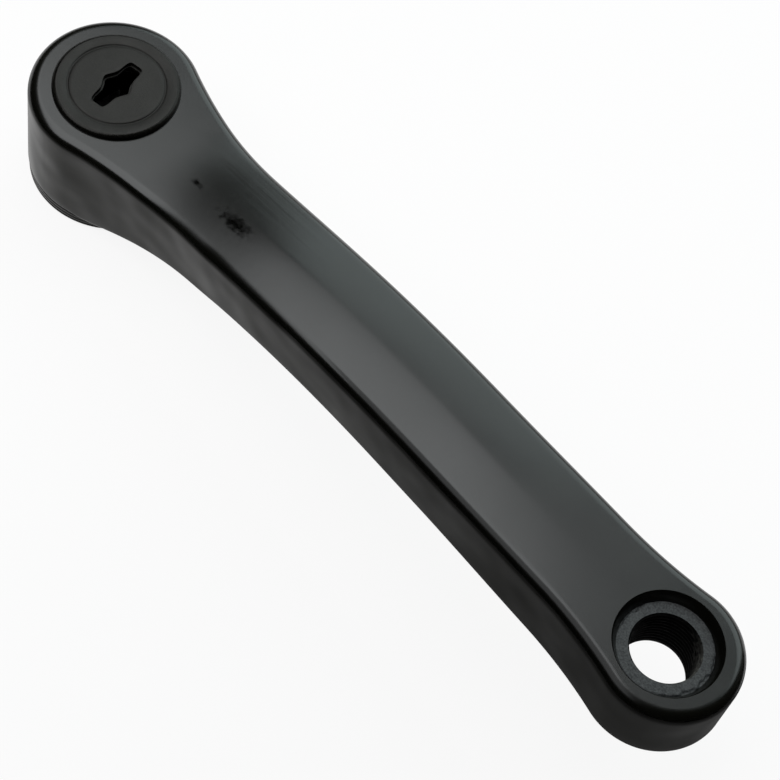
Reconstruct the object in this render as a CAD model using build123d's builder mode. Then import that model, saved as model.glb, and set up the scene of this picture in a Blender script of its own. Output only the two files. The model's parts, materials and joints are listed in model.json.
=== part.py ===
from build123d import *
import os

# A bicycle's left crank arm, forged in one piece, and the dust cap that closes its extractor bore.
# The origin is on the spindle axis at the back of the boss. +X runs to the pedal axis, +Z points outboard.
# All sizes are in millimetres.

# Arm, seen from the front
crank_length = 170.0  # spindle axis to pedal axis
boss_radius = 18.95
boss_shift = 0.25  # the boss is struck from a point this far behind the spindle axis
eye_radius = 15.05
eye_shift = 1.0  # the pedal eye is struck from a point this far beyond the pedal axis
arm_width = 25.05
waist_radius = 110.0  # hollow curves that lead from the arm into the boss and the pedal eye

# Arm, seen from the side
boss_thickness = 27.9  # with the pad on its back
arm_offset = 9.5  # how far the pedal face stands outboard of the boss face
arm_thickness = 15.7  # of the outer half, where it is thinnest
eye_thickness = 16.75
crown = 0.65  # how much lower the edge of the outer face lies than its middle, where the bend ends
bend_start = 22.5  # the outer face leaves the plane of the boss here
bend_start_reach = 17.0  # and keeps to that plane's direction for about this far
bend_end = 110.0  # the outer face is level with the pedal eye from here
bend_end_reach = 48.0
edge_start_reach = 33.0  # the edges of the face rise later than its middle, so that the bend is crowned too
edge_end_reach = 42.0
crown_end = 152.0  # the crown has faded out here
crown_reach = 14.0
under_start = 8.5  # the underside leaves the boss here
under_start_reach = 8.0
under_end = 101.5  # the underside is level from here
under_end_reach = 58.4
swell_start = 115.0  # from here the underside swells into the pedal eye
swell_end = 150.5
swell_reach = 11.0

# Back of the boss
pad_height = 3.0  # turned pad that carries the spindle socket
pad_step = 0.25  # how far its rim stays inside the boss

# Edges of the arm
outer_edge_radius = 2.5
back_edge_chamfer = 0.8
pad_edge_chamfer = 0.3

# Spindle socket and extractor bore
taper_across = 12.7  # flat to flat at the back of the boss
taper_angle = 2.0
taper_corner_radius = 1.0
bolt_seat_depth = 11.0  # below the outer face of the boss
extractor_radius = 11.0
extractor_chamfer = 0.5

# Pedal hole
pedal_thread_radius = 7.144
pedal_front_chamfer = 0.4
pedal_back_chamfer = 1.2
recess_radius = 10.9
recess_depth = 2.4
recess_rim_bevel = 0.3
seat_radius = 9.8  # flat ring at the bottom of the recess

# Dust cap
flange_radius = 14.0
flange_thickness = 1.2
flange_land = 0.15  # upright foot of the flange's rim
rim_width = 1.35  # of the two bevels that round the flange between its face and the foot
rim_corner = 0.3  # where the bevels meet, as a share of their width in from the foot
plate_thickness = 1.8  # of the cap's face, round the slot
skirt_length = 6.0  # below the flange
skirt_wall = 1.6
skirt_clearance = 0.15
groove_radius = 10.6
groove_width = 0.5
groove_depth = 0.25
slot_length = 13.2
slot_width = 3.7
slot_hexagon_radius = 3.6
slot_corner_radius = 0.45
slot_angle = 102.0  # from the arm's direction

# Levels and reaches that follow from the sizes above
eye_top = boss_thickness + arm_offset
eye_back = eye_top - eye_thickness
arm_back = eye_top - arm_thickness
bolt_seat = boss_thickness - bolt_seat_depth
pedal_seat = eye_top - recess_depth
cap_top = boss_thickness + flange_thickness
skirt_radius = extractor_radius - skirt_clearance
skirt_end = boss_thickness - skirt_length
rim_height = flange_thickness - flange_land
blank_half_width = boss_radius + 1
blank_start = -boss_shift - boss_radius - 1
blank_end = crank_length + eye_shift + eye_radius + 1

with BuildPart() as crank_arm:
    # Side view of the bend at the middle of the arm and beyond both edges: the loft through the three is crowned
    for side in (-1, 0, 1):
        level = eye_top - crown * (side * 2 * blank_half_width / arm_width) ** 2
        start_reach, end_reach = (edge_start_reach, edge_end_reach) if side else (bend_start_reach, bend_end_reach)
        with BuildSketch(Plane.XZ.offset(-side * blank_half_width)):
            with BuildLine():
                Bezier(
                    (bend_start, boss_thickness),
                    (bend_start + start_reach, boss_thickness),
                    (bend_end - end_reach, level),
                    (bend_end, level),
                )
                Bezier(
                    (bend_end, level),
                    (bend_end + crown_reach, level),
                    (crown_end - crown_reach, eye_top),
                    (crown_end, eye_top),
                )
                Polyline(
                    (crown_end, eye_top),
                    (crown_end, 0),
                    (bend_start, 0),
                    (bend_start, boss_thickness),
                )
            make_face()
    loft()

    # Flat ends: the face of the boss and the face of the pedal eye
    for start, end, height in ((blank_start, bend_start, boss_thickness), (crown_end, blank_end, eye_top)):
        with Locations(((start + end) / 2, 0, 0)):
            Box(end - start, 2 * blank_half_width, height, align=(Align.CENTER, Align.CENTER, Align.MIN))

    # Underside, from the back of the boss to the back of the pedal eye
    with BuildSketch(Plane.XZ.offset(-blank_half_width)):
        with BuildLine():
            Line((blank_start, pad_height), (under_start, pad_height))
            Bezier(
                (under_start, pad_height),
                (under_start + under_start_reach, pad_height),
                (under_end - under_end_reach, arm_back),
                (under_end, arm_back),
            )
            Line((under_end, arm_back), (swell_start, arm_back))
            Bezier(
                (swell_start, arm_back),
                (swell_start + swell_reach, arm_back),
                (swell_end - swell_reach, eye_back),
                (swell_end, eye_back),
            )
            Polyline(
                (swell_end, eye_back),
                (blank_end, eye_back),
                (blank_end, 0),
                (blank_start, 0),
                (blank_start, pad_height),
            )
        make_face()
    extrude(amount=2 * blank_half_width, mode=Mode.SUBTRACT)

    # Front view: boss, arm and pedal eye with hollow curves between them
    with BuildSketch() as front:
        with Locations((-boss_shift, 0)):
            Circle(boss_radius)
        with Locations((crank_length + eye_shift, 0)):
            Circle(eye_radius)
        with Locations((crank_length / 2, 0)):
            Rectangle(crank_length, arm_width)
        fillet(front.vertices(), waist_radius)
    extrude(amount=eye_top, mode=Mode.INTERSECT)

    # Edges all round the outer face and the underside. A seam across a face has no length along the arm.
    outer_face = crank_arm.faces().filter_by(lambda face: face.normal_at().Z > 0.8)
    fillet(outer_face.edges().filter_by(lambda edge: edge.bounding_box().size.X > 1), outer_edge_radius)
    underside = crank_arm.faces().filter_by(lambda face: face.normal_at().Z < -0.8)
    chamfer(underside.edges().filter_by(lambda edge: edge.bounding_box().size.X > 1), back_edge_chamfer)

    # Pad on the back of the boss
    with BuildSketch():
        with Locations((-boss_shift, 0)):
            Circle(boss_radius - pad_step)
    extrude(amount=bolt_seat)
    chamfer(crank_arm.edges().group_by(Axis.Z)[0], pad_edge_chamfer)

    # Extractor bore from the outer face down to the bolt seat, with a chamfered mouth
    with Locations((0, 0, boss_thickness)):
        CounterSinkHole(extractor_radius, extractor_radius + extractor_chamfer, bolt_seat_depth, 90)

    # Square taper socket, narrowing outboard
    with BuildSketch():
        RectangleRounded(taper_across, taper_across, taper_corner_radius)
    extrude(amount=bolt_seat, taper=taper_angle, mode=Mode.SUBTRACT)

    # Pedal hole, turned in one profile: bevelled rim, drafted recess, flat seat for the axle's flange, and the bore
    with BuildSketch(Plane.XZ):
        with BuildLine():
            Polyline(
                (crank_length, eye_top),
                (crank_length + recess_radius + recess_rim_bevel, eye_top),
                (crank_length + recess_radius, eye_top - recess_rim_bevel),
                (crank_length + seat_radius, pedal_seat),
                (crank_length + pedal_thread_radius + pedal_front_chamfer, pedal_seat),
                (crank_length + pedal_thread_radius, pedal_seat - pedal_front_chamfer),
                (crank_length + pedal_thread_radius, eye_back + pedal_back_chamfer),
                (crank_length + pedal_thread_radius + pedal_back_chamfer, eye_back),
                (crank_length, eye_back),
                close=True,
            )
        make_face()
    revolve(axis=Axis((crank_length, 0, 0), (0, 0, 1)), mode=Mode.SUBTRACT)

with BuildPart() as dust_cap:
    # Turned profile: flat face, bevelled rim, foot on the boss face, and the hollow skirt in the extractor bore
    with BuildSketch(Plane.XZ):
        with BuildLine():
            Polyline(
                (0, cap_top),
                (flange_radius - rim_width, cap_top),
                (flange_radius - rim_width * rim_corner, cap_top - rim_height * rim_corner),
                (flange_radius, cap_top - rim_height),
                (flange_radius, boss_thickness),
                (skirt_radius, boss_thickness),
                (skirt_radius, skirt_end),
                (skirt_radius - skirt_wall, skirt_end),
                (skirt_radius - skirt_wall, cap_top - plate_thickness),
                (0, cap_top - plate_thickness),
                close=True,
            )
        make_face()
    revolve(axis=Axis.Z)

    # Shallow ring groove
    with BuildSketch(Plane.XY.offset(cap_top)):
        Circle(groove_radius + groove_width / 2)
        Circle(groove_radius - groove_width / 2, mode=Mode.SUBTRACT)
    extrude(amount=-groove_depth, mode=Mode.SUBTRACT)

    # Tool slot: a hexagon with two arms, right through the cap
    with BuildSketch(Plane.XY.offset(cap_top)) as slot:
        Rectangle(slot_length, slot_width, rotation=slot_angle)
        RegularPolygon(slot_hexagon_radius, 6, rotation=slot_angle + 30)
        fillet(slot.vertices(), slot_corner_radius)
    extrude(amount=-plate_thickness, mode=Mode.SUBTRACT)

os.makedirs("parts", exist_ok=True)
crank_arm.part.label = "crank_arm"
export_step(crank_arm.part, "parts/crank_arm.step")
dust_cap.part.label = "dust_cap"
export_step(dust_cap.part, "parts/dust_cap.step")
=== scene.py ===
# %% [markdown]
# # A left crank arm, dressed for its picture
# The part is a forged bicycle crank arm with a plastic dust cap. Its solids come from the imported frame,
# in metres: the spindle axis is at the origin, +X runs to the pedal axis and +Z points outboard. This
# lesson works out smooth skins for both pieces with numpy, gives them procedural finishes, and sets up a
# small studio. Whole arrays do the work, so a surface reads as a formula and not as a loop over points.

# %% Load the frame
import json
import math
import bpy
import bmesh
import numpy as np
from mathutils import Matrix, Vector


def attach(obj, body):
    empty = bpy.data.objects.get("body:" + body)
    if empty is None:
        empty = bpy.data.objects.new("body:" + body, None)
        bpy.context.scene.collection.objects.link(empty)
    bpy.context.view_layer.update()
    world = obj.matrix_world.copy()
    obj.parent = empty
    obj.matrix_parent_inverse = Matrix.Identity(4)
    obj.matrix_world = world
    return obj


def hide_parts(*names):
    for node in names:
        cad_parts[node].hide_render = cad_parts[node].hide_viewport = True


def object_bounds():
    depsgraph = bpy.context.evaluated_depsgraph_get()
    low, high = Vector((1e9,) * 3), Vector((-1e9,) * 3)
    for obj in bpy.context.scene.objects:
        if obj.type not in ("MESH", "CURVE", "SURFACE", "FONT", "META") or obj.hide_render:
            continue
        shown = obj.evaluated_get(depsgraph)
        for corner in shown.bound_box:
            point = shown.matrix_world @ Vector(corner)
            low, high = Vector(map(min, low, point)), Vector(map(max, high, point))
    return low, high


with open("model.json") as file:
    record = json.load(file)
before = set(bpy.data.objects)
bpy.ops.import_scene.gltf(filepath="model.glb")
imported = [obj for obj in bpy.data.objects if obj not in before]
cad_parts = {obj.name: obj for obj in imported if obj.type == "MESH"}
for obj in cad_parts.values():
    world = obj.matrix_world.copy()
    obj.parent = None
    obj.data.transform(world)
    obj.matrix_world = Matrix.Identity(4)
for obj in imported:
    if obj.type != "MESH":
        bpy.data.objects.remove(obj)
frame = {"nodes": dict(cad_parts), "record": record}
cad_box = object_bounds()
MM = 0.001
print("nodes", sorted(frame["nodes"]), "box in mm", np.round(np.array(cad_box) / MM, 1).tolist())

# %% [markdown]
# ## Where the pedal goes
# A skin that stands for a solid has to keep its form, so it works from the same sizes, in millimetres.
# The place of the pedal axis and the radius of its thread could be typed again, but the frame's record
# already states them with the pedal's mount. Reading them there keeps skin and solid together.

# %% Pedal axis and thread
mounts = {mount["name"]: mount for mount in frame["record"]["mounts"]}
crank_length = mounts["pedal_thread"]["pos_m"][0] / MM
thread_radius = mounts["pedal_thread"]["dims"]["r_mm"]
print("pedal axis at", crank_length, "mm, thread radius", thread_radius, "mm")

# %% [markdown]
# ## The arm from the front
# The forging is a round boss and a round pedal eye, joined by a straight arm with hollow curves at both
# ends. A curve object could trace that, but the skin needs the same points again for every row, so half
# of the outline is worked out as five stretches that touch with equal tangents: eye, hollow, straight
# edge, hollow, boss. A hollow arc of radius w that touches a circle of radius r and the straight edge has
# its centre sqrt((r + w)² - (half width + w)²) along the arm from the circle's.

# %% Circles and hollow arcs
boss_radius, boss_shift = 18.95, 0.25
eye_radius, eye_shift = 15.05, 1.0
half_width, waist_radius = 12.525, 110.0
waist_height = half_width + waist_radius


def touching_offset(radius):
    """Distance along the arm between the centres of an end circle and of the hollow arc that touches it."""
    return math.sqrt((radius + waist_radius) ** 2 - waist_height**2)


eye_centre, boss_centre = crank_length + eye_shift, -boss_shift
eye_waist = eye_centre - touching_offset(eye_radius)
boss_waist = boss_centre + touching_offset(boss_radius)
eye_turn = math.atan2(waist_height, eye_waist - eye_centre)
boss_turn = math.atan2(waist_height, boss_waist - boss_centre)
print("straight edge from", round(boss_waist, 2), "to", round(eye_waist, 2), "mm")

# %% Half outline as whole arrays
STRETCHES = (56, 44, 120, 64, 80)  # columns of the skin in each stretch


def arc(centre_x, centre_y, radius, angle):
    """Points at those angles on a circle: centre + radius (cos, sin)."""
    return np.stack([centre_x + radius * np.cos(angle), centre_y + radius * np.sin(angle)], -1)


def half_outline():
    """Points, outward normals, and each column's angle on the end circles (0 to pi; nan on the edge)."""
    share = [np.linspace(0, 1, count, endpoint=False) for count in STRETCHES]
    share[-1] = np.linspace(0, 1, STRETCHES[-1])
    eye_angle = share[0] * eye_turn
    eye_hollow = (eye_turn - math.pi) + share[1] * (math.pi / 2 - eye_turn)
    boss_hollow = -math.pi / 2 + share[3] * (boss_turn - math.pi / 2)
    boss_angle = boss_turn + share[4] * (math.pi - boss_turn)
    edge_x = eye_waist + share[2] * (boss_waist - eye_waist)
    edge = np.stack([edge_x, np.full_like(edge_x, half_width)], -1)
    points = [arc(eye_centre, 0, eye_radius, eye_angle),
              arc(eye_waist, waist_height, waist_radius, eye_hollow),
              edge,
              arc(boss_waist, waist_height, waist_radius, boss_hollow),
              arc(boss_centre, 0, boss_radius, boss_angle)]
    normals = [arc(0, 0, 1, eye_angle), -arc(0, 0, 1, eye_hollow), edge * 0 + (0, 1),
               -arc(0, 0, 1, boss_hollow), arc(0, 0, 1, boss_angle)]
    angles = [eye_angle, eye_turn + share[1] * (math.pi - eye_turn), edge_x * np.nan,
              share[3] * boss_turn, boss_angle]
    return np.concatenate(points), np.concatenate(normals), np.concatenate(angles)


rim, rim_normal, rim_angle = half_outline()
columns = len(rim)
eye_end, boss_start = sum(STRETCHES[:2]), sum(STRETCHES[:3])
print("half outline of", columns, "columns, from", np.round(rim[0], 2), "to", np.round(rim[-1], 2))

# %% [markdown]
# ## The arm from the side
# Seen from the side, the outer face and the underside go from one level to another along smooth curves
# that start and end flat, because the arm has to clear the bicycle and still lie square to the pedal. A
# spline through guessed points would ripple in a glossy finish. A cubic with level ends doesn't: its
# height share is 3t² - 2t³, and its x is the cubic with the two reaches. The t for a given x is found by
# Newton's steps on the whole array.

# %% Level-to-level curve
NEWTON_STEPS, LEAST_SLOPE = 30, 1e-3


def level_step(x, start, start_reach, end, end_reach):
    """Share of the rise at x: a cubic with control points start, start + reach, end - reach and end."""
    t = np.clip((x - start) / (end - start), 0, 1)
    for _ in range(NEWTON_STEPS):
        inner = 3 * (1 - t) ** 2 * t * (start + start_reach) + 3 * (1 - t) * t**2 * (end - end_reach)
        place = (1 - t) ** 3 * start + inner + t**3 * end
        slope = 3 * (1 - t) ** 2 * start_reach + 6 * (1 - t) * t * (end - end_reach - start - start_reach)
        slope = np.maximum(slope + 3 * t**2 * end_reach, LEAST_SLOPE)
        t = np.clip(t - (place - x) / slope, 0, 1)
    return 3 * t**2 - 2 * t**3


print("share half way from 0 to 10", level_step(np.array([5.0]), 0, 3, 10, 3))

# %% [markdown]
# ## Crown and ridge
# The outer face isn't flat across: it falls to both edges, as a forging does so that it leaves its die,
# and a soft ridge runs along the middle. One formula gives all of it: the height goes from the middle
# line towards a line beyond the edge by a share that is mostly y², and partly a rounded |y|.

# %% Heights of the two faces
boss_face, arm_offset, arm_thickness, eye_thickness = 27.9, 9.5, 15.7, 16.75
eye_face = boss_face + arm_offset
eye_back = eye_face - eye_thickness
arm_back = eye_face - arm_thickness
pad_height = 3.0
crown = 0.65
ridge_share, ridge_round = 0.35, 0.5
bend = (20.5, 16.0, 110.0, 48.0)  # start, its reach, end, its reach, along the arm
edge_bend = (22.5, 33.0, 110.0, 42.0)  # the same for the lines beyond both edges, which rise later
edge_margin = 1.0
edge_line = boss_radius + edge_margin
crown_fade = (110.0, 14.0, 152.0, 14.0)
under_rise = (8.5, 8.0, 101.5, 58.4)
eye_swell = (115.0, 11.0, 150.5, 11.0)


def outer_height(x, y):
    """Middle line's height, plus a share of the way to the edge line: y², and partly a rounded |y|."""
    middle = boss_face + level_step(x, *bend) * (eye_face - boss_face)
    edge_level = eye_face - crown * (edge_line / half_width) ** 2
    edge = boss_face + level_step(x, *edge_bend) * (edge_level - boss_face)
    edge = edge + level_step(x, *crown_fade) * (eye_face - edge_level)
    ridge = (np.sqrt(y**2 + ridge_round**2) - ridge_round) * half_width
    share = ((1 - ridge_share) * y**2 + ridge_share * ridge) / edge_line**2
    return middle + (edge - middle) * share


def under_height(x):
    """Pad level, plus the underside's rise to the arm's back, then the swell down to the eye's back."""
    rise = level_step(x, *under_rise) * (arm_back - pad_height)
    return pad_height + rise + level_step(x, *eye_swell) * (eye_back - arm_back)


stations = np.linspace(0, crank_length, 5)
thickness = outer_height(stations, 0 * stations) - under_height(stations)
print("thickness along the arm", np.round(thickness, 1).tolist())

# %% [markdown]
# ## Rings round the holes
# Both faces of the arm have a hole at each end. A Boolean could cut them, but it would leave long thin
# faces that show in a gloss. Here the skin runs inwards from the outline to an inner line that goes round
# the pedal hole, along the middle of the arm and round the boss. Each column keeps its own angle there,
# so the walls of the holes start from the same points and the finished mesh closes without a seam.

# %% Inner line of a face
recess_radius, recess_bevel = 10.9, 0.3
bore_radius, bore_bevel = 11.0, 0.5
back_bevel = 1.2
pad_step = 0.25
pad_radius = boss_radius - pad_step


def inner_line(eye_hole, boss_x, boss_hole):
    """Per column: the pedal hole's circle, the arm's middle line or the boss circle, at its own angle."""
    line = np.zeros((columns, 2))
    line[:eye_end] = arc(crank_length, 0, eye_hole, rim_angle[:eye_end])
    line[eye_end:boss_start, 0] = np.linspace(
        crank_length - eye_hole, boss_x + boss_hole, STRETCHES[2], endpoint=False)
    line[boss_start:] = arc(boss_x, 0, boss_hole, rim_angle[boss_start:])
    return line


outer_line = inner_line(recess_radius + recess_bevel, 0, bore_radius + bore_bevel)
under_line = inner_line(thread_radius + back_bevel, boss_centre, pad_radius)
print("inner lines start at", np.round(outer_line[0], 2), "and", np.round(under_line[0], 2))

# %% [markdown]
# ## Rows of the skin
# The skin is a stack of rows: across the outer face, over its rounded edge, down the wall, round the back
# edge and across the underside. The outer edge is dressed round and the back edge is tighter. A Bevel
# modifier could round both, but its rows wouldn't follow the columns, so each is a formula: at turn q of
# a quarter turn the row lies r(1 - cos q) inside the outline and r(1 - sin q) in from the level of the
# face. On the boss the back edge stops where the pad begins.

# %% Outer face and its rounded edge
FACE_ROWS = 24
outer_round = 2.5


def lift(plan, height):
    """Plan points with their heights, as points in space."""
    return np.concatenate([plan, height[..., None]], -1)


def between(first, last, count):
    """Rows from the first to the last in even shares: first + share (last - first)."""
    return first + np.linspace(0, 1, count)[:, None, None] * (last - first)


def outer_rows(round_rows=12):
    """Inner line to inset outline on the face's formula, then the quarter turn of the outer edge."""
    face = between(outer_line, rim - outer_round * rim_normal, FACE_ROWS)
    turn = np.linspace(math.pi / 2, 0, round_rows + 1)[1:, None]
    edge = rim - (outer_round * (1 - np.cos(turn)))[..., None] * rim_normal
    drop = np.concatenate([np.zeros((FACE_ROWS, 1)), outer_round * (1 - np.sin(turn))])
    plan = np.concatenate([face, edge])
    return lift(plan, outer_height(plan[..., 0], plan[..., 1]) - drop)


outer = outer_rows()
print("outer rows and columns", outer.shape[:2])

# %% Wall and underside
back_round = 0.8


def wall_rows(count=16):
    """Straight down from the outer edge's foot to the back edge, in even shares of the wall's height."""
    top = outer_height(rim[:, 0], rim[:, 1]) - outer_round
    foot = under_height(rim[:, 0]) + back_round
    share = np.linspace(0, 1, count + 1)[1:, None]
    return lift(np.broadcast_to(rim, (count,) + rim.shape), top + share * (foot - top))


def under_rows(round_rows=7, across=16):
    """Straight inwards to the inner line: the underside's height, plus the quarter turn near the rim."""
    width = np.linalg.norm(under_line - rim, axis=1)
    turn = np.linspace(0, math.pi / 2, round_rows + 1)[1:, None]
    near = np.minimum(back_round * (1 - np.cos(turn)), width)
    share = np.linspace(0, 1, across + 1)[1:, None]
    far = np.minimum(back_round, width) + share * np.maximum(width - back_round, 0)
    depth = np.concatenate([near, far])
    plan = rim + (depth / width)[..., None] * (under_line - rim)
    bend_left = np.maximum(back_round - depth, 0)
    lifted = back_round - np.sqrt(back_round**2 - bend_left**2)
    return lift(plan, under_height(plan[..., 0]) + lifted)


skin = np.concatenate([outer, wall_rows(), under_rows()])
print("skin rows and columns", skin.shape[:2])

# %% [markdown]
# ## A dent on the bend
# The near edge of the bend has taken a knock. Sculpting would do, but a bell curve along the arm times
# one across it says where the dent is, how long and how deep, and leaves the rest of the face as it was.

# %% Press the dent
dent_place, dent_reach, dent_depth = (46.0, -11.8), (4.0, 1.1), 0.22


def bell(distance, reach):
    """A bump of height 1: e to the power of minus (distance / reach)²."""
    return np.exp(-((distance / reach) ** 2))


def press_dent(rows):
    """Rows lowered by the dent's depth times a bell along the arm and a bell across it."""
    along = bell(rows[..., 0] - dent_place[0], dent_reach[0])
    across = bell(rows[..., 1] - dent_place[1], dent_reach[1])
    return rows - (dent_depth * along * across)[..., None] * (0, 0, 1)


print("dent of", dent_depth, "mm at", dent_place)

# %% [markdown]
# ## Closing the loop and the mesh
# The other half is the mirror image, so a row becomes a closed ring: the half forwards and its mirror
# backwards. A Mirror modifier would leave the seam to a tolerance; here both halves share their points.
# Quads join each point to its neighbours. The mesh takes several such sheets, merges the points that they
# share, and turns all faces outwards. Edges sharper than about 30 degrees stay sharp.

# %% Rings and quads
def close_ring(rows):
    """A half row from middle plane to middle plane, continued by its mirror image back to the start."""
    return np.concatenate([rows, rows[:, -2:0:-1] * (1, -1, 1)], 1)


def quads(rows, count):
    """Corner numbers of the quads between neighbouring rows of closed rings."""
    here = np.arange(rows * count).reshape(rows, count)
    right = np.roll(here, -1, 1)
    return np.stack([here[:-1], right[:-1], right[1:], here[1:]], -1).reshape(-1, 4)


print("ring of", close_ring(skin[:1]).shape[1], "points")

# %% Sheets to a mesh object
MERGE_REACH, SPECK_REACH, SHARP_DEGREES = 0.0015, 0.0005, 32.0


def put_mesh(name, sheets):
    """Mesh object from sheets of (rows in mm, finish number), kept in the solids' box, merged, smooth."""
    points, faces, finishes, first = [], [], [], 0
    for rows, finish in sheets:
        points.append(rows.reshape(-1, 3) * MM)
        faces.append(quads(*rows.shape[:2]) + first)
        finishes.append(np.full(len(faces[-1]), finish))
        first += len(points[-1])
    mesh = bpy.data.meshes.new(name)
    mesh.from_pydata(np.clip(np.concatenate(points), *cad_box), [], np.concatenate(faces).tolist())
    mesh.polygons.foreach_set("material_index", np.concatenate(finishes).astype(np.int32))
    work = bmesh.new()
    work.from_mesh(mesh)
    bmesh.ops.remove_doubles(work, verts=work.verts, dist=MERGE_REACH * MM)
    bmesh.ops.dissolve_degenerate(work, edges=work.edges, dist=SPECK_REACH * MM)
    bmesh.ops.recalc_face_normals(work, faces=work.faces)
    open_edges = sum(not edge.is_manifold for edge in work.edges)
    work.to_mesh(mesh)
    work.free()
    mesh.polygons.foreach_set("use_smooth", np.ones(len(mesh.polygons), bool))
    mesh.set_sharp_from_angle(angle=math.radians(SHARP_DEGREES))
    piece = bpy.data.objects.new(name, mesh)
    bpy.context.scene.collection.objects.link(piece)
    print(name, len(mesh.polygons), "faces,", open_edges, "open edges")
    return piece


# %% [markdown]
# ## The pedal thread
# The pedal end is bored through and threaded for a 9/16 inch axle with 20 turns to the inch. A Screw
# modifier makes a thread too, but its ends are awkward to join to a bore. A turned part is a profile
# carried round an axis, so each row is a circle. In the thread the circle's radius falls by a ridge whose
# phase grows with the height and falls with the turn, so the ridge climbs as it goes round.

# %% Turned rings and the thread
thread_pitch, thread_depth = 25.4 / 20, 0.25
ridge_level, ridge_swing = 0.5, 0.75


def rings(centre_x, angles, profile):
    """Circles round an upright axis at those angles, one for each (radius, height) of the profile."""
    radius, height = np.array(profile).T[:, :, None]
    turned = np.broadcast_to(angles, (len(radius), len(angles)))
    return lift(arc(centre_x, 0, radius, turned), np.broadcast_to(height, turned.shape))


def full_turn(half_angles):
    """The angles of a half ring from 0 to pi, continued by their mirror images to the full turn."""
    return np.concatenate([half_angles, 2 * math.pi - half_angles[-2:0:-1]])


def thread_rows(angles, top, foot, rows_per_turn=8):
    """Thread radius less depth times a clipped cosine of height / pitch - turn, faded out at both ends."""
    height = np.linspace(top, foot, int(rows_per_turn * (top - foot) / thread_pitch))[:, None]
    phase = height / thread_pitch - angles / (2 * math.pi)
    ridge = np.clip(ridge_level + ridge_swing * np.cos(2 * math.pi * phase), 0, 1)
    ends = np.clip(np.minimum(top - height, height - foot) / thread_pitch, 0, 1)
    radius = thread_radius - thread_depth * ridge * ends
    return lift(arc(crank_length, 0, radius, angles + 0 * height), height + 0 * angles)


eye_turns = full_turn(np.concatenate([rim_angle[:eye_end], [math.pi]]))
print("pedal hole with", len(eye_turns), "columns")

# %% [markdown]
# ## A chipped seat
# The recess round the thread has a flat seat for the pedal's shoulder. Its rim is chipped at both ends of
# the arm's line. The chips could be modelled one by one, but a ragged width from two sine waves, widest
# at the two ends, gives as lively an edge: within that width the level ring sinks by the chip depth.

# %% Seat and the whole pedal hole
recess_depth, seat_radius, front_bevel = 2.4, 9.8, 0.25
seat_level = eye_face - recess_depth
chip_width, chip_depth, chip_slope = 1.1, 0.3, 0.25
outer_reach, inner_reach, inner_share = 0.7, 0.4, 0.8  # of the worn ends, in radians of turn
ragged_level, ragged_waves = 0.55, ((0.25, 13, 0), (0.2, 29, 1))  # height, repeats in a turn, start


def seat_rows(angles, count=16):
    """Level rings, sunk by the chip depth within a ragged width of the rim that is widest at both ends."""
    radius = np.linspace(seat_radius, thread_radius + front_bevel, count)[:, None]
    from_end = np.abs((angles + math.pi) % (2 * math.pi) - math.pi)
    worn = bell(from_end, outer_reach) + inner_share * bell(math.pi - from_end, inner_reach)
    waves = [height * np.sin(repeats * angles + start) for height, repeats, start in ragged_waves]
    ragged = sum(waves, ragged_level)
    chipped = np.clip((chip_width * worn * ragged - (seat_radius - radius)) / chip_slope, 0, 1)
    return lift(arc(crank_length, 0, radius, angles + 0 * radius), seat_level - chip_depth * chipped)


seat = seat_rows(eye_turns)
recess_wall = [(recess_radius + recess_bevel, eye_face), (recess_radius, eye_face - recess_bevel)]
recess = np.concatenate([rings(crank_length, eye_turns, recess_wall), seat[:1]])
thread = np.concatenate([
    rings(crank_length, eye_turns, [(thread_radius + front_bevel, seat_level)]),
    thread_rows(eye_turns, seat_level - front_bevel, eye_back + back_bevel),
    rings(crank_length, eye_turns, [(thread_radius + back_bevel, eye_back)])])
print("pedal hole rows", len(recess), len(seat), len(thread))

# %% [markdown]
# ## The inside of the boss
# Behind the cap lies the bore for the extractor tool, then the flat seat of the crank bolt, then the
# square taper that grips the spindle. A bevelled cube would do for the socket, but it wouldn't share the
# columns of the bore. A square's edge seen from its middle lies at half the width divided by the larger
# of |cos| and |sin|, and a high power mean in place of the larger one rounds the corners.

# %% Bore and square socket
bore_depth = 11.0
taper_half, taper_degrees, corner_power = 6.35, 2, 22
taper_lean = math.tan(math.radians(taper_degrees))
socket_rows = 9
bolt_seat = boss_face - bore_depth
boss_turns = full_turn(rim_angle[boss_start:])


def square_ring(height):
    """Rounded square of the taper's half width there: radius = half / (|cos|^p + |sin|^p)^(1/p)."""
    cosine, sine = np.abs(np.cos(boss_turns)), np.abs(np.sin(boss_turns))
    reach = (cosine**corner_power + sine**corner_power) ** (1 / corner_power)
    half = taper_half - height * taper_lean
    return lift(arc(0, 0, half / reach, boss_turns), np.full_like(boss_turns, height))[None]


bore_wall = [(bore_radius + bore_bevel, boss_face), (bore_radius, boss_face - bore_bevel),
             (bore_radius, bolt_seat)]
bore = np.concatenate([rings(0, boss_turns, bore_wall), square_ring(bolt_seat)])
socket = np.concatenate([square_ring(level) for level in np.linspace(bolt_seat, 0, socket_rows)])
print("boss rows", len(bore), len(socket))

# %% [markdown]
# ## The turned pad
# The back of the boss is faced and turned on a lathe, and the tool left fine lines round its wall. Bump
# could draw them, but they show at the outline, so the wall really goes in a little at each line: the
# eighth power of a sine is flat nearly everywhere and narrow at its peaks.

# %% Pad face and pad wall
pad_bevel, pad_face_rows = 0.3, 10
pad_lines, line_depth, line_power = 3, 0.12, 8


def turned_wall(top, foot, rows=25):
    """Straight from ring to ring, drawn in by the line depth times sin^8 of the share times the lines."""
    share = np.linspace(0, 1, rows)[:, None, None]
    wall = between(top, foot, rows)
    outwards = (wall - (boss_centre, 0, 0)) * (1, 1, 0) / pad_radius
    return wall - line_depth * np.sin(math.pi * pad_lines * share) ** line_power * outwards


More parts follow.
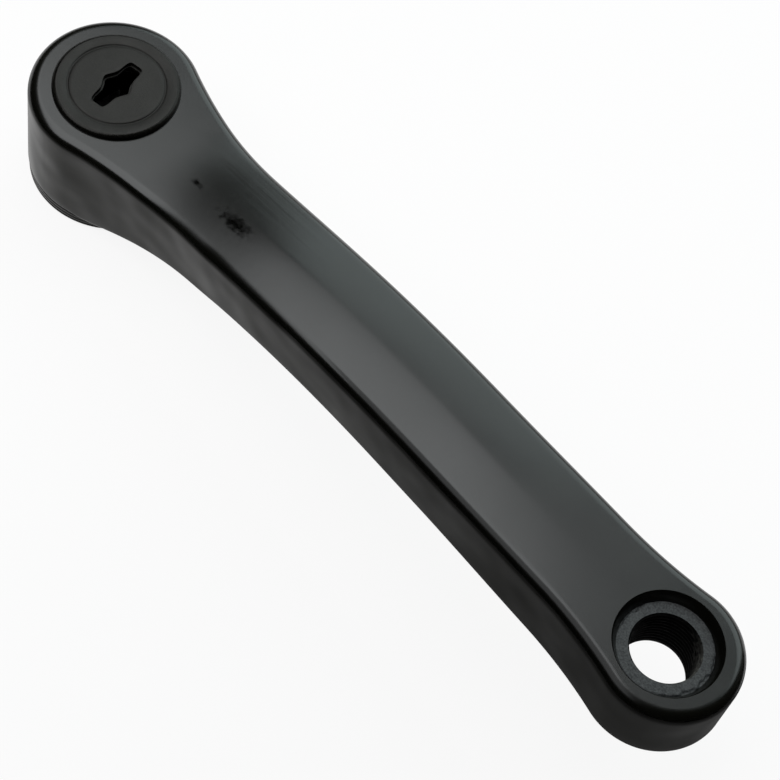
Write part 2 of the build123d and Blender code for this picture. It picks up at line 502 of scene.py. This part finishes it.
pad_edge = rings(boss_centre, boss_turns, [(pad_radius - pad_bevel, 0), (pad_radius, pad_bevel)])
pad_face = between(socket[-1], pad_edge[0], pad_face_rows)
pad_wall = turned_wall(pad_edge[1], close_ring(skin[-1:, boss_start:]))
print("pad rows", len(pad_face), len(pad_wall))

# %% [markdown]
# ## The arm as one piece
# Loose sheets would do for a picture, but a part to be used again should be closed. These meet on shared
# rings, so the merged mesh is one skin. Each sheet names its finish. The outer face was linished before
# painting and shines, and so does its rounded edge down to about 60 degrees of tilt. The walls and the
# underside keep the dull skin of the forging. Seat, thread and turned faces have their own.

# %% Make the arm
FACE, SIDE, SEAT, THREAD, TURNED = range(5)
shiny_edge_rows = 8  # of the twelve round the outer edge
shiny_rows = FACE_ROWS + shiny_edge_rows
shiny_skin = press_dent(close_ring(skin[:shiny_rows]))
dull_skin = press_dent(close_ring(skin[shiny_rows - 1:]))
arm = put_mesh("arm_skin", [
    (shiny_skin, FACE), (dull_skin, SIDE), (recess, FACE), (seat, SEAT), (thread, THREAD), (bore, SIDE),
    (socket, TURNED), (np.concatenate([pad_face, pad_edge[1:]]), TURNED), (pad_wall, SIDE)])
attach(arm, "root")
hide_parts("crank_arm")

# %% [markdown]
# ## The slot of the dust cap
# The cap is a moulded disc with a hollow skirt. A tool turns it in a slot: a bar and a hexagon laid over
# each other. A Boolean with both could cut it, but the lip would still have to be rounded. Seen from the
# middle, the slot's edge is simply the larger of the bar's and the hexagon's, each a power mean like the
# square, so it is one function of the angle.

# %% Edge of the slot
slot_turn, slot_half_length, slot_half_width, hexagon_radius = math.radians(102), 6.7, 2.0, 3.6
bar_power, slot_power = 6, 12
cap_columns = 720
cap_turns = np.linspace(0, 2 * math.pi, cap_columns, endpoint=False)


def slot_edge(angles):
    """Radius of the slot: the larger of a rounded bar and a rounded hexagon, also taken as a power mean."""
    turned = angles - slot_turn
    bar = (np.abs(np.cos(turned) / slot_half_length) ** bar_power
           + np.abs(np.sin(turned) / slot_half_width) ** bar_power) ** (-1 / bar_power)
    flat = hexagon_radius * math.cos(math.pi / 6)
    sides = turned[:, None] + np.pi / 3 * np.arange(3)
    hexagon = np.sum(np.abs(np.cos(sides) / flat) ** slot_power, 1) ** (-1 / slot_power)
    return (bar**slot_power + hexagon**slot_power) ** (1 / slot_power)


def slot_ring(wider, height):
    """The slot's edge, pushed out by a little, at one height."""
    return lift(arc(0, 0, slot_edge(cap_turns) + wider, cap_turns), np.full_like(cap_turns, height))[None]


print("slot reaches", round(float(slot_edge(cap_turns).max()), 2), "mm from the middle")

# %% [markdown]
# ## The cap round its slot
# Everything but the slot is turned: a face with a shallow ring groove, a rounded rim, the flange's foot
# on the boss, and the skirt in the bore. A lip rounds the slot's edge, and a ledge narrows the slot a
# millimetre down. A Screw modifier can carry a profile round an axis, but it can't follow the slot. Here
# each row is a ring of its own, and only the rows at the slot leave the circle.

# %% Profile of the cap
flange_thickness, flange_radius, plate = 1.2, 14.0, 1.8
rim_round, rim_rows = 1.0, 13
skirt_clearance, skirt_wall, skirt_length = 0.15, 1.6, 6.0
cap_face = boss_face + flange_thickness
skirt_outer, skirt_end = bore_radius - skirt_clearance, boss_face - skirt_length
groove_radius, groove_half, groove_depth = 10.6, 0.28, 0.22
groove_floor, groove_lip, lip_drop = 0.1, 0.12, 0.06
half_groove = [(groove_floor, groove_depth), (groove_half, lip_drop), (groove_half + groove_lip, 0)]
groove = [(groove_radius - across, cap_face - drop) for across, drop in half_groove[::-1]]
groove += [(groove_radius + across, cap_face - drop) for across, drop in half_groove]
rounded_rim = [(flange_radius - rim_round * (1 - math.sin(q)), cap_face - rim_round * (1 - math.cos(q)))
               for q in np.linspace(0, math.pi / 2, rim_rows)]
foot_and_skirt = [
    (flange_radius, boss_face), (skirt_outer, boss_face), (skirt_outer, skirt_end),
    (skirt_outer - skirt_wall, skirt_end), (skirt_outer - skirt_wall, cap_face - plate)]
print("cap profile of", len(groove) + len(rounded_rim) + len(foot_and_skirt), "points")

# %% Make the cap
CAP_FACE, CAP_RIM = range(2)
slot_round, ledge_depth, ledge_width = 0.2, 1.0, 0.35
lip_steps, cap_face_rows = 5, 10
lip = [slot_ring(slot_round * (1 - math.cos(q)), cap_face - slot_round * (1 - math.sin(q)))
       for q in np.linspace(0, math.pi / 2, lip_steps)[1:-1]]
face_rows = between(slot_ring(slot_round, cap_face), rings(0, cap_turns, groove[:1]), cap_face_rows)
face_rest = rings(0, cap_turns, groove[1:] + rounded_rim[:2])
below = [slot_ring(-ledge_width, cap_face - depth) for depth in (plate, ledge_depth)]
above = [slot_ring(0, cap_face - depth) for depth in (ledge_depth, slot_round)]
cap = put_mesh("dust_cap_skin", [
    (np.concatenate(lip + [face_rows, face_rest]), CAP_FACE),
    (np.concatenate([rings(0, cap_turns, rounded_rim[1:] + foot_and_skirt)] + below), CAP_RIM),
    (np.concatenate([below[-1], above[0]]), CAP_FACE),
    (np.concatenate(above + lip[:1]), CAP_RIM)])
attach(cap, "root")
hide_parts("dust_cap")

# %% [markdown]
# ## Tools for finishes
# A finish is a small node tree. Drawing it by hand in the shader editor is fine for one, but here are
# several, so a few helpers make a node and join it in one line. Object coordinates are in metres, so a
# noise scale of 1000 makes grains of about a millimetre.

# %% Start, feed and give a finish
def new_finish(name):
    """A new finish: its material, its tree, its shader and its object coordinates."""
    finish = bpy.data.materials.new(name)
    finish.use_nodes = True
    tree = finish.node_tree
    shader = tree.nodes["Principled BSDF"]
    place = tree.nodes.new("ShaderNodeTexCoord").outputs["Object"]
    return finish, tree, shader, place


def feed(tree, shader, colour, roughness, normal):
    """Join a colour, a roughness and a normal to the shader."""
    for name, value in (("Base Color", colour), ("Roughness", roughness), ("Normal", normal)):
        tree.links.new(value, shader.inputs[name])


def give(piece, finish):
    """Add the finish to the piece's list, in the order of the finish numbers."""
    piece.data.materials.append(finish)
    print(piece.name, "finish", len(piece.data.materials) - 1, "is", finish.name)


# %% Noise, ranges and colours
def noise(tree, place, scale, detail=2.0, stretch=(1, 1, 1)):
    """Noise of that many grains to the metre, drawn out along the axes by stretch."""
    mapping = tree.nodes.new("ShaderNodeMapping")
    mapping.inputs["Scale"].default_value = [scale / s for s in stretch]
    tree.links.new(place, mapping.inputs["Vector"])
    texture = tree.nodes.new("ShaderNodeTexNoise")
    texture.inputs["Scale"].default_value = 1.0
    texture.inputs["Detail"].default_value = detail
    tree.links.new(mapping.outputs["Vector"], texture.inputs["Vector"])
    return texture.outputs["Fac"]


def spread(tree, value, low, high, start=0.3, end=0.7):
    """A value from start to end, mapped to low to high and held there beyond."""
    node = tree.nodes.new("ShaderNodeMapRange")
    for name, number in (("From Min", start), ("From Max", end), ("To Min", low), ("To Max", high)):
        node.inputs[name].default_value = number
    tree.links.new(value, node.inputs["Value"])
    return node.outputs["Result"]


def ramp(tree, value, dark, light, start=0.35, end=0.65):
    """A value from start to end, mapped to a colour from dark to light."""
    node = tree.nodes.new("ShaderNodeValToRGB")
    for stop, position, colour in zip(node.color_ramp.elements, (start, end), (dark, light)):
        stop.position = position
        stop.color = (*colour, 1)
    tree.links.new(value, node.inputs["Fac"])
    return node.outputs["Color"]


# %% Bumps, distances and sums
def bump(tree, strength, depth_mm, *heights, under=None):
    """Chain of bumps, one for each height, all of the same strength and depth, over those under them."""
    normal = under
    for height in heights:
        node = tree.nodes.new("ShaderNodeBump")
        node.inputs["Strength"].default_value = strength
        node.inputs["Distance"].default_value = depth_mm * MM
        tree.links.new(height, node.inputs["Height"])
        if normal:
            tree.links.new(normal, node.inputs["Normal"])
        normal = node.outputs["Normal"]
    return normal


def away_from(tree, place, centre, reach):
    """Distance from a centre, in shares of the reach along each axis, in mm; reach 0 leaves an axis out."""
    mapping = tree.nodes.new("ShaderNodeMapping")
    mapping.inputs["Scale"].default_value = [1 / (r * MM) if r else 0 for r in reach]
    mapping.inputs["Location"].default_value = [-c / r if r else 0 for c, r in zip(centre, reach)]
    tree.links.new(place, mapping.inputs["Vector"])
    length = tree.nodes.new("ShaderNodeVectorMath")
    length.operation = "LENGTH"
    tree.links.new(mapping.outputs["Vector"], length.inputs[0])
    return length.outputs["Value"]


def reckon(tree, operation, first, second):
    """Two values put together by one of the Math node's operations."""
    node = tree.nodes.new("ShaderNodeMath")
    node.operation = operation
    tree.links.new(first, node.inputs[0])
    tree.links.new(second, node.inputs[1])
    return node.outputs[0]


# %% [markdown]
# ## Satin black on the face
# The outer face is black paint over linished metal. What one sees of it is mostly reflection, so its base
# colour is nearly nothing and the roughness does the work. Faint streaks run along the far half of the
# bend. Two spots on the bend are rubbed smoother than the paint round them, and their base colour is
# darkened there as a painted dark reflection of the gap between the lamps. A painted mask would do; distances
# from two centres, made ragged by noise, need no image.

# %% Finish of the face
streak_place, streak_reach = (44, 7, 0), (24, 7, 0)  # places and reaches in millimetres
# spots rubbed smoother, whose base colour is also darkened as a painted dark reflection
rubbed_and_painted_dark_spots = (((44.4, -3.1, 0), (5.0, 2.1, 0)), ((30.2, -2.0, 0), (1.8, 0.9, 0)))


def satin_black():
    """Roughness is patches times the spots' share, and so is the base colour, darkened in the spots as a
    painted dark reflection; the normal is orange peel over streaks along the arm.
    """
    finish, tree, shader, place = new_finish("satin_black")
    patches = noise(tree, place, scale=45, detail=3)
    nearest = reckon(tree, "MINIMUM", *[away_from(tree, place, *spot) for spot in rubbed_and_painted_dark_spots])
    ragged = spread(tree, noise(tree, place, scale=800, detail=3), low=-0.4, high=0.4)
    whole = spread(tree, reckon(tree, "ADD", nearest, ragged), low=0, high=1, start=0.2, end=1.1)
    spots = spread(tree, whole, low=0.35, high=1, start=0, end=1)
    roughness = reckon(tree, "MULTIPLY", spread(tree, patches, low=0.2, high=0.25), spots)
    # painted dark reflection: the base colour darkens in the spots, where the bend mirrors the dark gap
    # between the lamps
    tone_and_painted_dark = reckon(tree, "MULTIPLY", patches, whole)
    colour = ramp(tree, tone_and_painted_dark, (0.0004, 0.0004, 0.0003), (0.003, 0.003, 0.0018), start=0, end=0.65)
    lines = noise(tree, place, scale=700, detail=3, stretch=(40, 1, 40))
    fade = spread(tree, away_from(tree, place, streak_place, streak_reach), low=1, high=0, start=0.3, end=1)
    streaks = bump(tree, 1.0, 0.1, reckon(tree, "MULTIPLY", lines, fade))
    peel = noise(tree, place, scale=700, detail=1)
    feed(tree, shader, colour, roughness, bump(tree, 0.2, 0.02, peel, under=streaks))
    return finish


give(arm, satin_black())

# %% [markdown]
# ## Dull black on the sides
# The walls weren't linished, so they keep the soft waves of the forging and gleam little. A second
# material with a lower specular level is enough. Its roughness grows along the arm, and a slow noise as
# bump gives the waves without more faces.

# %% Finish of the sides
side_gloss, side_tint = 0.16, (1.0, 0.99, 0.93, 1)


def dull_side():
    """Roughness grows with the distance along X and varies in patches; fine grain lies over slow waves."""
    finish, tree, shader, place = new_finish("dull_side")
    shader.inputs["Specular IOR Level"].default_value = side_gloss
    shader.inputs["Specular Tint"].default_value = side_tint
    patches = noise(tree, place, scale=60, detail=3)
    colour = ramp(tree, patches, (0.0024, 0.0024, 0.0018), (0.0036, 0.0036, 0.0028))
    along = away_from(tree, place, (0, 0, 0), (1, 0, 0))
    rise = spread(tree, along, low=0.32, high=0.72, start=40, end=160)
    roughness = reckon(tree, "ADD", rise, spread(tree, patches, low=-0.04, high=0.04))
    waves = bump(tree, 1.0, 1.2, noise(tree, place, scale=75, detail=1))
    grain = noise(tree, place, scale=1500, detail=3)
    feed(tree, shader, colour, roughness, bump(tree, 0.15, 0.02, grain, under=waves))
    return finish


give(arm, dull_side())

# %% [markdown]
# ## Gritty seat
# The seat in the recess looks spot-faced and thinly painted: dull, with dark pits and paler specks.
# Modelled pits would take far too many faces. Two noises of different grain do it: one colours the seat,
# the other roughens it, and both make the bump.

# %% Finish of the seat
def gritty_seat():
    """Colour from a fine grit, roughness from coarser specks, and both as bump."""
    finish, tree, shader, place = new_finish("gritty_seat")
    grit = noise(tree, place, scale=2600, detail=4)
    specks = noise(tree, place, scale=1500, detail=2)
    colour = ramp(tree, grit, (0.012, 0.013, 0.014), (0.05, 0.053, 0.055))
    feed(tree, shader, colour, spread(tree, specks, low=0.5, high=0.7), bump(tree, 0.5, 0.12, grit, specks))
    return finish


give(arm, gritty_seat())

# %% [markdown]
# ## Dark thread
# The thread is black and rough, with a little bare metal and grit towards the arm's end. A second
# material for the bare part would show a seam. Here one noise makes the wear, and the distance from a
# point at that end fades the bare part out.

# %% Finish of the thread
thread_gloss = 0.06
bare_place, bare_reach = (180, 2, 36), (14, 14, 14)


def dark_thread():
    """Colour from wear times nearness to the bare side; roughness and bump from the wear."""
    finish, tree, shader, place = new_finish("dark_thread")
    shader.inputs["Specular IOR Level"].default_value = thread_gloss
    wear = noise(tree, place, scale=1300, detail=5)
    bare = spread(tree, away_from(tree, place, bare_place, bare_reach), low=1, high=0, start=0.2, end=1.1)
    worn = reckon(tree, "MULTIPLY", wear, bare)
    colour = ramp(tree, worn, (0.0015, 0.0015, 0.0015), (0.09, 0.088, 0.08), start=0.2, end=0.6)
    feed(tree, shader, colour, spread(tree, wear, low=0.95, high=0.8), bump(tree, 0.7, 0.15, wear))
    return finish


give(arm, dark_thread())

# %% [markdown]
# ## Turned faces
# The pad and the square socket were machined and blackened with the rest. Fine marks and a dull sheen
# tell them from the forged skin. More turned lines in the mesh would be too heavy, so a noise that is
# drawn out along X and Y, and stays fine along Z, gives the marks as bump.

# %% Finish of the turned faces
def turned_black():
    """Colour from soft patches; roughness and bump from marks that are long in X and Y and fine in Z."""
    finish, tree, shader, place = new_finish("turned_black")
    marks = noise(tree, place, scale=1800, detail=2, stretch=(12, 12, 1))
    patches = noise(tree, place, scale=120, detail=3)
    colour = ramp(tree, patches, (0.012, 0.012, 0.0125), (0.022, 0.022, 0.022))
    feed(tree, shader, colour, spread(tree, marks, low=0.36, high=0.5), bump(tree, 0.25, 0.05, marks))
    return finish


give(arm, turned_black())

# %% [markdown]
# ## Cap plastic
# The cap is moulded plastic with a fine grain from its mould. Its rim and its slot walls are smoother and
# gleam less than the face. They could have two recipes, but one with two settings serves both.

# %% Finishes of the cap
plastic_tint = (1.0, 0.97, 0.93, 1)


def cap_plastic(name, gloss, roughest, cloud_depth=0.08):
    """Colour and bump from a fine grain, roughness from slow clouds just under the roughest value."""
    finish, tree, shader, place = new_finish(name)
    shader.inputs["Specular IOR Level"].default_value = gloss
    shader.inputs["Specular Tint"].default_value = plastic_tint
    grain = noise(tree, place, scale=3600, detail=3)
    clouds = noise(tree, place, scale=220, detail=3)
    colour = ramp(tree, grain, (0.0012, 0.0011, 0.0009), (0.006, 0.0057, 0.0048))
    feed(tree, shader, colour, spread(tree, clouds, low=roughest - cloud_depth, high=roughest),
         bump(tree, 0.5, 0.06, grain))
    return finish


give(cap, cap_plastic("cap_plastic", gloss=0.34, roughest=0.56))
give(cap, cap_plastic("cap_rim", gloss=0.16, roughest=0.3))

# %% [markdown]
# ## Floor
# The picture has a plain white ground. The floor is a pale sheet at the back of the boss that catches a
# soft shadow. Enough light to make it white would flood the arm, so most of its white is its own, for the
# rays that come from the lens, from mirrors or through glass. Under the boss it is only lit, so that no
# glow shows in the slot.

# %% Make the floor
floor_half, floor_colour, own_white = 3.0, (0.93, 0.9, 0.9, 1), 0.9  # half width in metres
unlit_radius = 12.0  # millimetres


def flat_sheet(name, corners, finish):
    """A sheet with four corners, in metres, and one finish."""
    mesh = bpy.data.meshes.new(name)
    mesh.from_pydata(corners, [], [(0, 1, 2, 3)])
    mesh.materials.append(finish)
    sheet = bpy.data.objects.new(name, mesh)
    bpy.context.scene.collection.objects.link(sheet)
    return sheet


def pale_floor():
    """Lit white, and for lens, mirror and glass rays mostly its own, but none within the unlit radius."""
    finish, tree, shader, place = new_finish("pale_floor")
    tree.nodes.remove(shader)
    kinds = ("BsdfDiffuse", "Emission", "MixShader")
    lit, own, mix = (tree.nodes.new("ShaderNode" + kind) for kind in kinds)
    lit.inputs["Color"].default_value = floor_colour
    from_middle = away_from(tree, place, (0, 0, 0), (1, 1, 1))
    share = spread(tree, from_middle, low=0, high=own_white, start=unlit_radius, end=boss_radius)
    ray = tree.nodes.new("ShaderNodeLightPath").outputs
    seen = reckon(tree, "MAXIMUM", ray["Is Glossy Ray"], ray["Is Transmission Ray"])
    seen = reckon(tree, "MAXIMUM", ray["Is Camera Ray"], seen)
    tree.links.new(reckon(tree, "MULTIPLY", seen, share), mix.inputs["Fac"])
    tree.links.new(lit.outputs[0], mix.inputs[1])
    tree.links.new(own.outputs[0], mix.inputs[2])
    tree.links.new(mix.outputs[0], tree.nodes["Material Output"].inputs["Surface"])
    return finish


floor_corners = np.array([[-1, -1, 0], [1, -1, 0], [1, 1, 0], [-1, 1, 0]]) * floor_half
floor = flat_sheet("floor", floor_corners, pale_floor())
print("floor", 2 * floor_half, "m wide")

# %% [markdown]
# ## Room
# A black glossy thing shows little of its own colour: what we see is the studio in it. The room is dark
# but for a dim band behind the arm, low down. A picture of a studio would show its own lamps; two plain
# ramps on the ray's direction, one for its height and one for +Y, give just the band.

# %% Make the room
room_dark, room_pale = (0.014, 0.014, 0.012), (0.4, 0.4, 0.38)


def studio_world():
    """Colour from dark to pale by a share that falls with the ray's height times one that grows with +Y."""
    world = bpy.data.worlds.new("studio")
    world.use_nodes = True
    tree = world.node_tree
    parts = tree.nodes.new("ShaderNodeSeparateXYZ")
    tree.links.new(tree.nodes.new("ShaderNodeTexCoord").outputs["Generated"], parts.inputs[0])
    low_down = spread(tree, parts.outputs["Z"], low=1, high=0, start=0, end=0.45)
    behind = spread(tree, parts.outputs["Y"], low=0, high=1, start=0.3, end=0.85)
    band = reckon(tree, "MULTIPLY", low_down, behind)
    colour = ramp(tree, band, room_dark, room_pale, start=0, end=1)
    tree.links.new(colour, tree.nodes["Background"].inputs["Color"])
    return world


bpy.context.scene.world = studio_world()
print("room", bpy.context.scene.world.name)

# %% [markdown]
# ## Black cards and a grey net
# A photographer shapes a gloss with cards. One black card on the floor before the arm draws the black
# line along its rounded edge, and one beyond the pedal end does the same round the eye. A grey net
# between the overhead lamp and that edge takes most of the lamp's gleam out of it. Its threads could be
# modelled, but a sheet that lets a share of the light through does the same. The lens sees none of the
# three, so they stand in no view's way.

# %% Make the cards and the net
card_height, card_black = 0.06, (0.015, 0.015, 0.014, 1)  # sizes here are in metres
net_corners = [(0.03, -0.12), (0.22, -0.12), (0.22, 0.008), (0.03, -0.03)]


def black_card(name, start, end):
    """An upright sheet on the floor from one plan point to another, seen only in reflections."""
    finish, _, shader, _ = new_finish(name)
    shader.inputs["Base Color"].default_value = card_black
    shader.inputs["Specular IOR Level"].default_value = 0.0
    corners = [(*start, 0), (*end, 0), (*end, card_height), (*start, card_height)]
    card = flat_sheet(name, corners, finish)
    card.visible_camera = card.visible_diffuse = card.visible_shadow = False
    return card


def grey_net(name, corners, height, clearness):
    """A level sheet with those plan corners that lets a share of the light through, unseen by the lens."""
    finish, tree, shader, _ = new_finish(name)
    tree.nodes.remove(shader)
    threads = tree.nodes.new("ShaderNodeBsdfTransparent")
    threads.inputs["Color"].default_value = (clearness, clearness, clearness, 1)
    tree.links.new(threads.outputs[0], tree.nodes["Material Output"].inputs["Surface"])
    net = flat_sheet(name, [(*corner, height) for corner in corners], finish)
    net.visible_camera = net.visible_diffuse = False
    return net


black_card("near_card", (-0.35, -0.065), (0.5, -0.065))
black_card("end_card", (0.24, -0.064), (0.24, 0.2))
grey_net("grey_net", net_corners, height=0.127, clearness=0.3)
print("cards", card_height, "m high, net with", len(net_corners), "corners")

# %% [markdown]
# ## Lamps
# The outer face mirrors two softboxes, one overhead and one behind, and the bend of the arm mirrors the
# dark gap between them. A lamp's place could be found by dragging it about. It was worked out the other
# way round: each point of the face says in which direction it mirrors, so the bright points together draw
# the lamp. An area lamp of radiance L and area A needs the power pi L A.

# %% Make the lamps
lamp_distance, lamp_target = 1.0, np.array([85, 0, 25]) * MM  # metres


def look(direction, roll):
    """Turn that points a lamp's or a camera's -Z along the direction, then rolls about it, in degrees."""
    turn = Vector(direction).to_track_quat("-Z", "Y").to_matrix()
    return (turn @ Matrix.Rotation(math.radians(roll), 3, "Z")).to_euler()


def softbox(name, azimuth, elevation, roll, size, radiance, colour):
    """A rectangular lamp that faces the middle of the arm from that azimuth and elevation."""
    a, e = math.radians(azimuth), math.radians(elevation)
    way = np.array([math.cos(e) * math.cos(a), math.cos(e) * math.sin(a), math.sin(e)])
    lamp = bpy.data.lights.new(name, "AREA")
    lamp.shape = "RECTANGLE"
    lamp.size, lamp.size_y = size
    lamp.energy = radiance * math.pi * size[0] * size[1]
    lamp.color = colour
    holder = bpy.data.objects.new(name, lamp)
    bpy.context.scene.collection.objects.link(holder)
    holder.location = lamp_target + way * lamp_distance
    holder.rotation_euler = look(-way, roll)
    print(name, round(lamp.energy, 2), "W")


softbox("overhead_softbox", azimuth=205.6, elevation=68.7, roll=-15.8, size=(1.31, 0.746),
        radiance=3.05, colour=(0.96, 0.99, 1.0))
softbox("back_softbox", azimuth=101.2, elevation=37.6, roll=-13.0, size=(1.156, 0.784),
        radiance=2.15, colour=(0.88, 1.0, 1.0))

# %% [markdown]
# ## Camera
# The camera stands above the near side with a long lens, as for a catalogue. It could be placed by eye;
# here its azimuth and elevation round the arm, its roll, its distance and its lens were fitted together
# to the outline of the arm and to the round edges of the cap and the pedal hole.

# %% Make the camera
picture_pixels, sensor_width = 780, 36.0
camera_target, camera_distance = (93.063, -2.389, cap_face), 454.47  # millimetres
nearest_seen = 0.01  # metres


def picture_camera(azimuth, elevation, roll, lens_pixels):
    """Camera on a sphere round the target; its lens is lens pixels / picture pixels of the sensor's width."""
    a, e = math.radians(azimuth), math.radians(elevation)
    away = np.array([math.sin(a) * math.cos(e), -math.cos(a) * math.cos(e), math.sin(e)])
    data = bpy.data.cameras.new("camera")
    data.sensor_width = sensor_width
    data.lens = lens_pixels / picture_pixels * sensor_width
    data.clip_start = nearest_seen
    holder = bpy.data.objects.new("camera", data)
    bpy.context.scene.collection.objects.link(holder)
    holder.location = (np.array(camera_target) + away * camera_distance) * MM
    holder.rotation_euler = look(-away, roll)
    return holder


camera = picture_camera(azimuth=35.398, elevation=59.647, roll=15.306, lens_pixels=2231.2)
bpy.context.scene.camera = camera
bpy.context.scene.view_settings.view_transform = "Standard"
print("camera at", np.round(np.array(camera.location), 3).tolist())

# %% [markdown]
# ## Last update
# The view layer is brought up to date.

# %% Update the view layer
bpy.context.view_layer.update()
